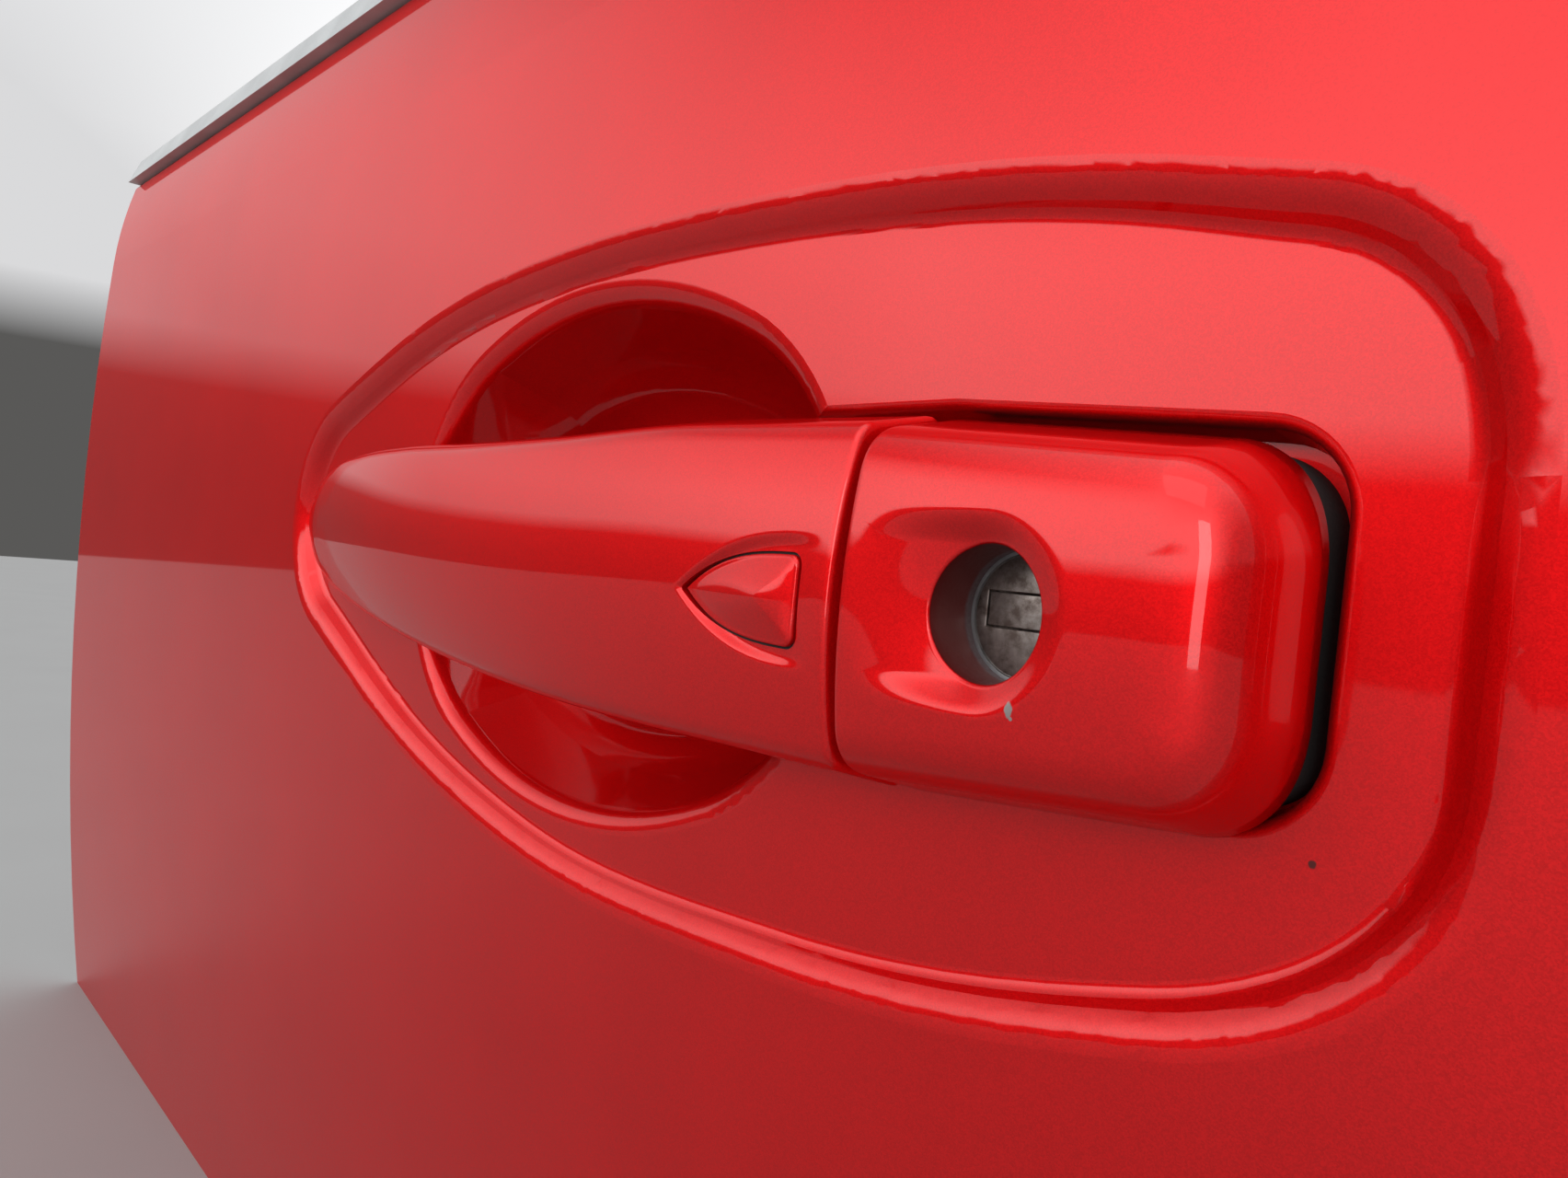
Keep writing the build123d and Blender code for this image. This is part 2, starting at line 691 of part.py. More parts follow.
def make_bracket():
    """Moulded carrier behind the skin: pivot block, bridge behind the cup, lock and lever block."""
    y0 = plate_y()
    py, pz = lever_pivot()
    hx0, hx1 = lever_x()
    ears = [(window_front_x - 3.4, hx0 - side_play), (hx1 + side_play, hx1 + side_play + ear_t)]
    rear = block(ears[0][0], plate_rear_x, y0, y0 + bracket_t, -plate_half, plate_half)
    rear = fillet(rear.edges().filter_by(Axis.Y), 6)
    rear -= block(ears[0][1], key_x - plug_r - housing_wall - 2, y0 - 1, y0 + bracket_t + 1,
                  -window_half - 7, window_half + 3)
    for x0, x1 in ears:
        rear += block(x0, x1, y0, py + 6, pz - 6, pz + 14)
    rear += block(ears[0][0], ears[0][1], y0, beam_y() + bracket_t, -beam_half - 10, beam_half)
    collar = rod_y(plug_r + housing_wall + 3, y0, y0 + 12, key_x, 0)
    lug = block(lug_x, lug_x + bracket_t, y0, screw_y + 8, -8, 8)
    rear += collar + lug
    rear -= rod_y(plug_r + housing_wall + 0.1, y0 - 1, y0 + 13, key_x, 0)
    rear -= rod_x(pin_r, ears[0][0] - 1, ears[1][1] + 1, py, pz)
    rear -= rod_x(screw_r + 0.2, lug_x - 1, lug_x + bracket_t + 1, screw_y, 0)
    beam = block(nose_plate_rear_x - bracket_t, ears[0][1], beam_y(), beam_y() + bracket_t,
                 -beam_half, beam_half)
    for side in (-1, 1):
        z = side * (beam_half - bracket_t / 2)
        beam += block(nose_plate_rear_x - bracket_t, ears[0][1], beam_y(), beam_y() + bracket_t + 5,
                      z - bracket_t / 2, z + bracket_t / 2)
    ny = skin_t + seat_gap
    leg = block(nose_plate_rear_x - bracket_t, nose_plate_rear_x, ny, beam_y() + bracket_t,
                -beam_half, beam_half)
    nose = block(nose_plate_front_x, nose_plate_rear_x, ny, ny + bracket_t,
                 nose_rise - nose_plate_half, nose_rise + nose_plate_half)
    nose = fillet(nose.edges().filter_by(Axis.Y).sort_by(Axis.X)[:2], 6)
    nose -= block(pivot_x - boss_r - 2, arm_rear_x + 3, ny - 1, ny + bracket_t + 1,
                  nose_rise - arm_half - side_play, nose_rise + arm_half + side_play)
    for side in (-1, 1):
        z = nose_rise + side * (arm_half + side_play + ear_t / 2)
        nose += block(pivot_x - boss_r, pivot_x + boss_r + 3, ny, pivot_y + boss_r,
                      z - ear_t / 2, z + ear_t / 2)
    nose -= rod_z(pin_r, nose_rise - 30, nose_rise + 30, pivot_x, pivot_y)
    return rear + beam + leg + nose


def make_pivot_pin():
    reach = arm_half + side_play + ear_t
    return rod_z(pin_r, nose_rise - reach, nose_rise + reach, pivot_x, pivot_y)


def make_lever_pin():
    py, pz = lever_pivot()
    hx0, hx1 = lever_x()
    return rod_x(pin_r, window_front_x - 3.4, hx1 + side_play + ear_t, py, pz)


def arm_between(p0, p1, half0, half1, end_r, x0, x1):
    """Flat tapered arm in the YZ plane between two points, with a round boss at its far end."""
    dy, dz = p1[0] - p0[0], p1[1] - p0[1]
    length = sqrt(dy * dy + dz * dz)
    ny, nz = -dz / length, dy / length
    plane = Plane(origin=(x0, 0, 0), x_dir=(0, 1, 0), z_dir=(1, 0, 0))
    ends = [(p0, half0), (p1, half1), (p1, -half1), (p0, -half0)]
    web = make_face(Polyline([(p[0] + ny * half, p[1] + nz * half) for p, half in ends], close=True))
    return extrude(plane * web, x1 - x0) + rod_x(end_r, x0, x1, *p1)


def make_release_lever():
    py, pz = lever_pivot()
    hx0, hx1 = lever_x()
    tip = (py + lever_arm * sin(radians(lever_lean)), lever_tip_z)
    eye = (py + rod_arm_y, pz + rod_arm_z)
    low = (py - weight_back, pz - weight_drop)
    lever = rod_x(lever_hub_r, hx0, hx1, py, pz)
    x0, x1 = tail_x - lever_arm_t / 2, tail_x + lever_arm_t / 2
    lever += arm_between((py, pz), tip, arm_root_half, lever_tip_half, lever_tip_r, x0, x1)
    lever += arm_between((py, pz), eye, arm_root_half, rod_arm_half, rod_eye_r + rod_eye_wall,
                         hx1 - rod_arm_t, hx1)
    lever += arm_between((py, pz), low, arm_root_half, rod_arm_half, weight_r - 1.5, x0, x1)
    lever -= rod_x(pin_r + running_gap, hx0 - 1, hx1 + 1, py, pz)
    lever -= rod_x(rod_eye_r, hx0 - 1, hx1 + 1, *eye)
    return lever - rod_x(weight_core_r, hx0 - 5, hx1 + 5, *low)


def make_counterweight():
    py, pz = lever_pivot()
    low = (py - weight_back, pz - weight_drop)
    half = lever_arm_t / 2
    core = rod_x(weight_core_r, tail_x - half, tail_x + half, *low)
    return core + rod_x(weight_r, tail_x - half - weight_t, tail_x - half, *low) \
        + rod_x(weight_r, tail_x + half, tail_x + half + weight_t, *low)


def make_screw():
    tip = key_x + plug_r + housing_wall
    shank = rod_x(screw_r, tip, lug_x + bracket_t, screw_y, 0)
    return shank + rod_x(screw_head_r, lug_x + bracket_t, lug_x + bracket_t + screw_head_t, screw_y, 0)


def make_moulding():
    """Strip that sits on the belt flange, seen as its profile along X."""
    y0 = crest_y + skin_r - sqrt(skin_r ** 2 - roll_z ** 2) + 2.4
    profile = make_face(Polyline((y0, belt_z), (y0 + moulding_t + 3, belt_z),
                                 (y0 + moulding_t + 3, belt_z + moulding_h),
                                 (y0 + 4, belt_z + moulding_h), close=True))
    profile = fillet(profile.vertices().sort_by(Axis.Y)[2:], 1.5)
    plane = Plane(origin=(skin_front_x, 0, 0), x_dir=(0, 1, 0), z_dir=(1, 0, 0))
    return extrude(plane * profile, skin_rear_x - skin_front_x)


def build_all():
    body = grip_body()
    return skin_pieces() | {
        "belt_moulding": make_moulding(),
        "handle_bracket": make_bracket(),
        "lock_cap": make_lock_cap(),
        "rear_gasket": make_rear_gasket(),
        "front_gasket": make_front_gasket(),
        "lock_housing": make_lock_housing(),
        "pivot_pin": make_pivot_pin(),
        "lever_pin": make_lever_pin(),
        "cap_screw": make_screw(),
        "grip_outer": make_grip_outer(body),
        "grip_inner": make_grip_inner(body),
        "unlock_button": make_button(),
        "button_gasket": make_button_gasket(),
        "release_lever": make_release_lever(),
        "counterweight": make_counterweight(),
        "lock_plug": make_lock_plug(),
        "key_shutter": make_key_shutter(),
        "lock_tail": make_lock_tail(),
    }


def main():
    os.makedirs("parts", exist_ok=True)
    for name, shape in build_all().items():
        solids = shape.solids()
        export_step(solids[0] if len(solids) == 1 else Compound(solids), f"parts/{name}.step")
        print(name, len(solids), round(sum(s.volume for s in solids)))


main()
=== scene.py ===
import json
from math import atan2, radians

import bmesh
import bpy
import numpy as np
from mathutils import Matrix, Vector


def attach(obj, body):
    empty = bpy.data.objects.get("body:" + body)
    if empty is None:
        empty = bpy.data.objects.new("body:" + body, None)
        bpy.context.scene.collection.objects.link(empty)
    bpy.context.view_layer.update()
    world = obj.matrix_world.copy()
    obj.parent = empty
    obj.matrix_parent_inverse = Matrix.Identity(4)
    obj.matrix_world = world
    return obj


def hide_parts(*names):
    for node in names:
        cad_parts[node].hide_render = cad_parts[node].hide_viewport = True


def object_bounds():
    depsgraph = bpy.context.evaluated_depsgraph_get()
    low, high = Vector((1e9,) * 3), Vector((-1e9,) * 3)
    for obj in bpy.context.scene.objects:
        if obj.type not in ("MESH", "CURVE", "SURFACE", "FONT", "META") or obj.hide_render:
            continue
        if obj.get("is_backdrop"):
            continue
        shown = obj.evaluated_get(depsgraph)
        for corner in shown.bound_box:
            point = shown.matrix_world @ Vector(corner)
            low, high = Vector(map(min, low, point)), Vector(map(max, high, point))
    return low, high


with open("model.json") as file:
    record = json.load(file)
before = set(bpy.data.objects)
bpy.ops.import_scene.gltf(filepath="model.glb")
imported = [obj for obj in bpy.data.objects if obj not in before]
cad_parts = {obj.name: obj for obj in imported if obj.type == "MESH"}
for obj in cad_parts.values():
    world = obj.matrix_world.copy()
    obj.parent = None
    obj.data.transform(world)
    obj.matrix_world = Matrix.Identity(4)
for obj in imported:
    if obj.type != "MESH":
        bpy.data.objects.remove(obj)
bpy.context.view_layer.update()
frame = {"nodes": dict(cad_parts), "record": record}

mm = 0.001
nodes = frame["nodes"]


# Small helpers for node materials

def newMaterial(name):
    material = bpy.data.materials.new(name)
    material.use_nodes = True
    tree = material.node_tree
    shader = tree.nodes["Principled BSDF"]
    coords = tree.nodes.new("ShaderNodeTexCoord")
    return material, tree, shader, coords.outputs["Object"]


def addNode(tree, kind, links=(), **settings):
    node = tree.nodes.new(kind)
    for key, value in settings.items():
        setattr(node, key, value)
    for socket, value in links:
        if isinstance(value, bpy.types.NodeSocket):
            tree.links.new(value, node.inputs[socket])
        else:
            node.inputs[socket].default_value = value
    return node


def addNoise(tree, coords, scale, detail=3.0, roughness=0.5):
    return addNode(tree, "ShaderNodeTexNoise", [("Vector", coords), ("Scale", scale), ("Detail", detail),
                                                ("Roughness", roughness)]).outputs["Fac"]


def addRange(tree, value, low, high, outLow=0.0, outHigh=1.0):
    return addNode(tree, "ShaderNodeMapRange", [("Value", value), ("From Min", low), ("From Max", high),
                                                ("To Min", outLow), ("To Max", outHigh)]).outputs["Result"]


def addMath(tree, operation, a, b=0.0):
    return addNode(tree, "ShaderNodeMath", [(0, a), (1, b)], operation=operation).outputs["Value"]


def addMix(tree, factor, a, b, blend="MIX"):
    node = addNode(tree, "ShaderNodeMix", data_type="RGBA", blend_type=blend)
    for socket, value in ((node.inputs["Factor"], factor), (node.inputs[6], a), (node.inputs[7], b)):
        if isinstance(value, bpy.types.NodeSocket):
            tree.links.new(value, socket)
        else:
            socket.default_value = value
    return node.outputs[2]


def addBump(tree, shader, height, strength, distance):
    bump = addNode(tree, "ShaderNodeBump", [("Height", height), ("Strength", strength), ("Distance", distance)])
    tree.links.new(bump.outputs["Normal"], shader.inputs["Normal"])
    return bump


# Red metallic paint under clear coat
paintValues = {
    "deep": (0.42, 0.001, 0.003, 1),
    "bright": (0.80, 0.006, 0.007, 1),
    "flakeScale": 7000.0,
    "edge": (0.9, 0.04, 0.05, 1),
    "metallic": 0.75,
    "roughness": 0.45,
    "coat": 0.75,
    "underGloss": 0.12,
    "coatRoughness": 0.04,
    "glint": (0.35, 0.75),
    "cloudScale": 28.0,
    "cloud": 0.06,
    "roughSpread": 0.06,
    "peelScale": 320.0,
    "peelBump": (0.05, 0.0002),
}
noiseSpan = (0.3, 0.7)  # holds nearly all of a noise's values


# Marks in the paint, in millimetres: place, stretch and radius of each, and its colour; the body's dark red spot is
# painted shade
chipGrey = (0.30, 0.27, 0.26, 1)
dustPale = (0.75, 0.66, 0.60, 1)
# Dark red, a shaded copy of the body paint: painted shade at the foot of the lock cap
paintedCornerShade = (0.10, 0.012, 0.010, 1)
handleMarks = [
    ((22.9, -16.6, -8.5), (1.0, 0.4, 0.55), 0.45, chipGrey),
    ((23.2, -16.6, -9.3), (1.0, 0.4, 1.0), 0.22, chipGrey),
    ((10.8, -12.0, 19.6), (1.0, 0.4, 1.0), 0.26, dustPale),
    ((12.1, -12.4, 19.4), (1.0, 0.4, 1.0), 0.14, dustPale),
    ((-32.2, -10.0, 19.8), (0.7, 0.3, 1.0), 0.30, dustPale),
]
bodyMarks = [
    # painted shade: dark spot on the skin at the cap's lower rear corner, where the cap meets the skin
    ((44.9, 0.0, -19.0), (1.0, 0.5, 1.0), 0.42, paintedCornerShade),
    ((28.6, 0.0, 45.0), (1.0, 0.3, 1.0), 0.16, dustPale),
    ((61.0, 0.0, -12.0), (1.0, 0.3, 1.0), 0.18, dustPale),
    ((70.2, 0.0, 21.0), (1.0, 0.3, 0.7), 0.16, dustPale),
]
markValues = {"edge": 0.25, "middle": 1.45, "ragged": 0.9, "grain": 1500.0}


def addMark(tree, coords, place, stretch, radius):
    near = addNode(tree, "ShaderNodeVectorMath", [(0, coords), (1, [-p * mm for p in place])],
                   operation="ADD").outputs["Vector"]
    near = addNode(tree, "ShaderNodeVectorMath", [(0, near), (1, stretch)], operation="MULTIPLY").outputs["Vector"]
    away = addNode(tree, "ShaderNodeVectorMath", [(0, near)], operation="LENGTH").outputs["Value"]
    ragged = addMath(tree, "MULTIPLY", addNoise(tree, coords, markValues["grain"]), radius * markValues["ragged"] * mm)
    away = addMath(tree, "ADD", away, ragged)
    low = radius * (markValues["middle"] - markValues["edge"]) * mm
    return addRange(tree, away, low, low + radius * markValues["edge"] * mm, 1.0, 0.0)


def makePaint(name, values):
    material, tree, shader, coords = newMaterial(name)
    shader.inputs["Metallic"].default_value = values["metallic"]
    shader.inputs["Coat Weight"].default_value = values["coat"]
    shader.inputs["Specular Tint"].default_value = values["edge"]
    shader.inputs["Specular IOR Level"].default_value = values["underGloss"]
    shader.inputs["Coat Roughness"].default_value = values["coatRoughness"]
    flakes = addNode(tree, "ShaderNodeTexVoronoi", [("Vector", coords), ("Scale", values["flakeScale"])])
    flake = addNode(tree, "ShaderNodeSeparateColor", [("Color", flakes.outputs["Color"])]).outputs[0]
    glint = addRange(tree, flake, 0.0, 1.0, *values["glint"])
    cloud = addRange(tree, addNoise(tree, coords, values["cloudScale"]), *noiseSpan, -values["cloud"],
                     values["cloud"])
    shade = addMath(tree, "ADD", glint, cloud)
    colour = addMix(tree, shade, values["deep"], values["bright"])
    for place, stretch, radius, tint in values["marks"]:
        colour = addMix(tree, addMark(tree, coords, place, stretch, radius), colour, tint)
    tree.links.new(colour, shader.inputs["Base Color"])
    rough = addRange(tree, glint, *values["glint"], values["roughness"] - values["roughSpread"],
                     values["roughness"] + values["roughSpread"])
    tree.links.new(rough, shader.inputs["Roughness"])
    addBump(tree, shader, addNoise(tree, coords, values["peelScale"], 2.0), *values["peelBump"])
    return material


# Plain finishes: fine grain in the roughness, wide clouds in the colour
plainValues = {"wideScale": 60.0, "roughSpread": 0.06, "bumpDistance": 0.0001}


def makePlain(name, colour, roughness, metallic=0.0, grainScale=2500.0, grain=0.12, bump=0.15):
    material, tree, shader, coords = newMaterial(name)
    shader.inputs["Metallic"].default_value = metallic
    grainNoise = addNoise(tree, coords, grainScale, 4.0)
    wide = addNoise(tree, coords, plainValues["wideScale"])
    dark = tuple(c * (1 - grain) for c in colour[:3]) + (1,)
    light = tuple(min(1, c * (1 + grain)) for c in colour[:3]) + (1,)
    tree.links.new(addMix(tree, addRange(tree, wide, *noiseSpan), dark, light), shader.inputs["Base Color"])
    spread = plainValues["roughSpread"]
    tree.links.new(addRange(tree, grainNoise, *noiseSpan, roughness - spread, roughness + spread),
                   shader.inputs["Roughness"])
    addBump(tree, shader, grainNoise, bump, plainValues["bumpDistance"])
    return material


# Plug steel: brushed face, dark where dirt stays, with fine scratches
wornValues = {
    "clean": (0.46, 0.40, 0.37, 1),
    "dirty": (0.15, 0.11, 0.095, 1),
    "blotch": 700.0,
    "scratch": (260.0, 900.0, 5200.0),
    "dirtSpan": (0.36, 0.66),
    "metallic": 0.92,
    "roughness": (0.28, 0.55),
    "bump": (0.25, 0.00006),
}


def makeWornSteel(name, values):
    material, tree, shader, coords = newMaterial(name)
    shader.inputs["Metallic"].default_value = values["metallic"]
    blotch = addNoise(tree, coords, values["blotch"], 5.0, 0.65)
    dirt = addRange(tree, blotch, *values["dirtSpan"])
    tree.links.new(addMix(tree, dirt, values["dirty"], values["clean"]), shader.inputs["Base Color"])
    stretched = addNode(tree, "ShaderNodeVectorMath", [(0, coords), (1, values["scratch"])],
                        operation="MULTIPLY").outputs["Vector"]
    lines = addNoise(tree, stretched, 1.0, 4.0, 0.7)
    tree.links.new(addRange(tree, blotch, *noiseSpan, values["roughness"][1], values["roughness"][0]),
                   shader.inputs["Roughness"])
    addBump(tree, shader, lines, *values["bump"])
    return material


bodyPaint = makePaint("bodyPaint", paintValues | {"marks": bodyMarks})
handlePaint = makePaint("handlePaint", paintValues | {"metallic": 0.7, "peelScale": 500.0, "marks": handleMarks})
# Key hole wall: the red paint darkened, painted shade inside the hole
holePaintedShade = makePlain("holePaintedShade", (0.085, 0.0022, 0.0022), 0.38)
plugSteel = makeWornSteel("plugSteel", wornValues)
finishes = {
    "body_paint": bodyPaint,
    "handle_paint": handlePaint,
    "belt_grey": makePlain("beltGrey", (0.42, 0.43, 0.43), 0.4),
    "carrier_black": makePlain("carrierBlack", (0.02, 0.02, 0.021), 0.6),
    "rubber_black": makePlain("rubberBlack", (0.006, 0.006, 0.006), 0.75),
    "zinc_cast": makePlain("zincCast", (0.42, 0.42, 0.43), 0.45, metallic=0.9, grainScale=900.0, grain=0.15,
                           bump=0.3),
    "steel_pin": makePlain("steelPin", (0.55, 0.53, 0.5), 0.3, metallic=1.0, grainScale=1500.0, grain=0.1,
                           bump=0.1),
    "plug_steel": plugSteel,
}
for subpart in frame["record"]["subparts"]:
    node = nodes[subpart["node"]]
    node.data.materials.clear()
    node.data.materials.append(finishes[subpart["material_slot"]])
print("materials on", len(nodes), "nodes")


# Small helpers for meshes

def smoothRamp(start, end, value):
    t = np.clip((value - start) / (end - start), 0.0, 1.0)
    return t * t * (3 - 2 * t)


def roundedLoop(corners, radii, spacing, fewest=4, extra=2.0):
    points, normals = [], []
    count = len(corners)
    legs = []
    for i in range(count):
        before, here, after = (np.array(corners[(i + k) % count], float) for k in (-1, 0, 1))
        goIn = (here - before) / np.linalg.norm(here - before)
        goOut = (after - here) / np.linalg.norm(after - here)
        turn = np.arctan2(goIn[0] * goOut[1] - goIn[1] * goOut[0], goIn @ goOut)
        back = radii[i] * abs(np.tan(turn / 2))
        start = here - goIn * back
        aside = np.array([goIn[1], -goIn[0]])
        steps = max(fewest, int(abs(turn) * (radii[i] + extra) / spacing))
        legs.append((start, here + goOut * back, start - aside * radii[i], np.arctan2(aside[1], aside[0]), turn,
                     radii[i], steps))
    for i in range(count):
        start, end, centre, first, turn, radius, steps = legs[i]
        for k in range(steps + 1):
            angle = first + turn * k / steps
            normal = np.array([np.cos(angle), np.sin(angle)])
            points.append(centre + radius * normal)
            normals.append(normal)
        ahead = legs[(i + 1) % count][0]
        runs = max(1, int(np.linalg.norm(ahead - end) / spacing))
        for k in range(1, runs):
            points.append(end + (ahead - end) * k / runs)
            normals.append(normals[-1])
    return np.array(points), np.array(normals)


def bridge(mesh, ringA, ringB, closed=True, slot=0):
    last = len(ringA) if closed else len(ringA) - 1
    for i in range(last):
        j = (i + 1) % len(ringA)
        face = mesh.faces.new((ringA[i], ringA[j], ringB[j], ringB[i]))
        face.material_index = slot


def finishPiece(name, mesh, materials, body, sharp=38.0, outward=True):
    if outward:
        bmesh.ops.recalc_face_normals(mesh, faces=mesh.faces)
    data = bpy.data.meshes.new(name)
    mesh.to_mesh(data)
    mesh.free()
    for material in materials:
        data.materials.append(material)
    for polygon in data.polygons:
        polygon.use_smooth = True
    data.set_sharp_from_angle(angle=radians(sharp))
    piece = bpy.data.objects.new(name, data)
    bpy.context.scene.collection.objects.link(piece)
    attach(piece, body)
    return piece


# Lock cap: crowned face rolled into its walls, with the soft thumb dish running out of the key hole
capValues = {
    "seamX": 0.65,
    "rearX": 43.2,
    "halfFront": 18.3,
    "halfRear": 14.8,
    "past": 14.0,
    "frontCorner": 5.0,
    "rearCorner": 9.2,
    "face": -17.5,
    "crownRadius": 82.0,
    "rearFall": 1.2,
    "foot": -0.42,
    "flare": 0.231,
    "rearFlare": 0.035,
    "rollSeam": 0.8,
    "rollSide": 4.5,
    "rollRear": 8.5,
    "wall": 2.2,
    "keyX": 18.2,
    "holeRadius": 6.8,
    "holeLip": 0.45,
    "holeFloor": -8.25,
    "dishDepth": 2.1,
    "dishHalf": 10.2,
    "dishInner": 6.6,
    "dishReach": 16.8,
    "dishFade": 1.4,
    "dishRearFrom": 3.0,
    "dishRearShare": 0.45,
    "spacing": 0.75,
    "lipRings": 5,
    "faceRings": 40,
    "ringSpread": 1.5,
    "rollRings": 9,
    "wallRings": 4,
    "seamRings": 4,
}


def capFace(v, x, z):
    along = (x - v["seamX"]) / (v["rearX"] - v["seamX"])
    crown = v["crownRadius"] - np.sqrt(v["crownRadius"] ** 2 - z ** 2)
    out = np.hypot(x - v["keyX"], z)
    share = np.clip((v["dishReach"] - out) / (v["dishReach"] - v["holeRadius"]), 0.0, 1.0) ** v["dishFade"]
    side = np.where(x < v["keyX"], np.abs(z), out)
    width = 1 - smoothRamp(v["dishInner"], v["dishHalf"], side)
    behind = smoothRamp(v["keyX"] - v["dishRearFrom"], v["keyX"] + v["holeRadius"], x)
    rear = 1 - (1 - v["dishRearShare"]) * behind
    return v["face"] + crown + v["rearFall"] * np.maximum(along, 0) ** 2 + v["dishDepth"] * share * width * rear


def makeCap(v):
    x0, x1 = v["seamX"] - v["past"], v["rearX"]
    lean = (v["halfFront"] - v["halfRear"]) / (v["rearX"] - v["seamX"])
    front = v["halfFront"] + lean * v["past"]
    corners = [(x1, -v["halfRear"]), (x1, v["halfRear"]), (x0, front), (x0, -front)]
    edge, normal = roundedLoop(corners, [v["rearCorner"]] * 2 + [v["frontCorner"]] * 2, v["spacing"])
    aside = normal[:, 1] ** 2
    roll = np.where(normal[:, 0] > 0, v["rollSide"] * aside + v["rollRear"] * (1 - aside), v["rollSide"])
    flare = v["flare"] * aside + v["rearFlare"] * (1 - aside)
    start = edge - normal * roll[:, None]
    key = np.array([v["keyX"], 0.0])
    toward = start - key
    toward /= np.linalg.norm(toward, axis=1)[:, None]

    def heightAt(plan):
        return capFace(v, plan[:, 0], plan[:, 1])

    rings = []
    lipPlan = key + toward * (v["holeRadius"] + v["holeLip"])
    lipHeight = heightAt(lipPlan)
    rimPlan = key + toward * v["holeRadius"]
    for k in range(v["lipRings"] + 1):
        rings.append((rimPlan, v["holeFloor"] + (lipHeight + v["holeLip"] - v["holeFloor"]) * k / v["lipRings"]))
    for k in range(1, v["lipRings"] + 1):
        angle = k / v["lipRings"] * np.pi / 2
        rings.append((key + toward * (v["holeRadius"] + v["holeLip"] * (1 - np.cos(angle))),
                      lipHeight + v["holeLip"] * (1 - np.sin(angle))))
    for k in range(1, v["faceRings"] + 1):
        share = (k / v["faceRings"]) ** v["ringSpread"]
        plan = lipPlan + (start - lipPlan) * share
        rings.append((plan, heightAt(plan)))
    startHeight = heightAt(start)
    nudge = 0.1
    slope = (startHeight - heightAt(start - normal * nudge)) / nudge
    cornerHeight = startHeight + slope * roll
    wallTop = edge + normal * (flare * roll)[:, None]
    for k in range(1, v["rollRings"] + 1):
        t = k / v["rollRings"]
        plan = start * (1 - t) ** 2 + edge * 2 * t * (1 - t) + wallTop * t ** 2
        height = startHeight * (1 - t) ** 2 + cornerHeight * 2 * t * (1 - t) + (cornerHeight + roll) * t ** 2
        rings.append((plan, height))
    for k in range(1, v["wallRings"] + 1):
        height = cornerHeight + roll + (v["foot"] - cornerHeight - roll) * k / v["wallRings"]
        rings.append((edge + normal * (flare * (height - cornerHeight))[:, None], height))

    mesh = bmesh.new()
    made = []
    for plan, height in rings:
        made.append([mesh.verts.new((x * mm, y * mm, z * mm)) for (x, z), y in zip(plan, height)])
    for k in range(len(made) - 1):
        # the rings down the key hole wall take the darkened red, painted shade
        bridge(mesh, made[k], made[k + 1], slot=1 if k <= v["lipRings"] else 0)
    cutX = (v["seamX"] + v["rollSeam"]) * mm
    everything = mesh.verts[:] + mesh.edges[:] + mesh.faces[:]
    bmesh.ops.bisect_plane(mesh, geom=everything, plane_co=(cutX, 0, 0), plane_no=(-1, 0, 0), clear_outer=True)
    chain = [vert for vert in mesh.verts if abs(vert.co.x - cutX) < 1e-7]
    chain.sort(key=lambda vert: atan2(vert.co.z, v["foot"] * mm + 1e-5 - vert.co.y))
    places = [np.array((vert.co.z, vert.co.y)) for vert in chain]
    inward = []
    for i in range(len(places)):
        along = places[min(i + 1, len(places) - 1)] - places[max(i - 1, 0)]
        along /= np.linalg.norm(along)
        inward.append(np.array((-along[1], along[0])))
    ring = chain
    for k in range(1, v["seamRings"] + 1):
        angle = k / v["seamRings"] * np.pi / 2
        depth = v["rollSeam"] * mm * (1 - np.cos(angle))
        x = cutX - v["rollSeam"] * mm * np.sin(angle)
        spots = [place + aim * depth for place, aim in zip(places, inward)]
        spots[0][1] = spots[-1][1] = v["foot"] * mm
        nextRing = [mesh.verts.new((x, spot[1], spot[0])) for spot in spots]
        bridge(mesh, ring, nextRing, closed=False)
        ring = nextRing
    mesh.faces.new(ring)
    bmesh.ops.recalc_face_normals(mesh, faces=mesh.faces)
    if capLooksInward(mesh):
        bmesh.ops.reverse_faces(mesh, faces=mesh.faces)
    piece = finishPiece("lockCap", mesh, [handlePaint, holePaintedShade], "door_section", outward=False)
    shell = piece.modifiers.new("shell", "SOLIDIFY")
    shell.thickness = v["wall"] * mm
    shell.offset = -1.0
    makeReal(piece)
    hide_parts("lock_cap")
    return piece


def capLooksInward(mesh):
    front = min(mesh.faces, key=lambda face: face.calc_center_median().y)
    return front.normal.y > 0


def makeReal(piece):
    bpy.context.view_layer.update()
    seen = bpy.data.meshes.new_from_object(piece.evaluated_get(bpy.context.evaluated_depsgraph_get()))
    seen.name = piece.name
    piece.modifiers.clear()
    piece.data = seen


makeCap(capValues)
print("lock cap made")


# Lock face: worn plate with its key window, and the sprung shutter behind the window
lockValues = {
    "centre": (18.2, 0.0),
    "radius": 6.25,
    "front": -8.2,
    "back": -7.92,
    "rimBevel": 0.2,
    "window": (13.3, 23.1, -1.4, 2.4),
    "windowBevel": 0.08,
    "steps": 120,
    "shutterGap": 0.16,
    "shutterFront": -8.06,
    "shutterBack": -7.72,
    "shutterBevel": 0.12,
}


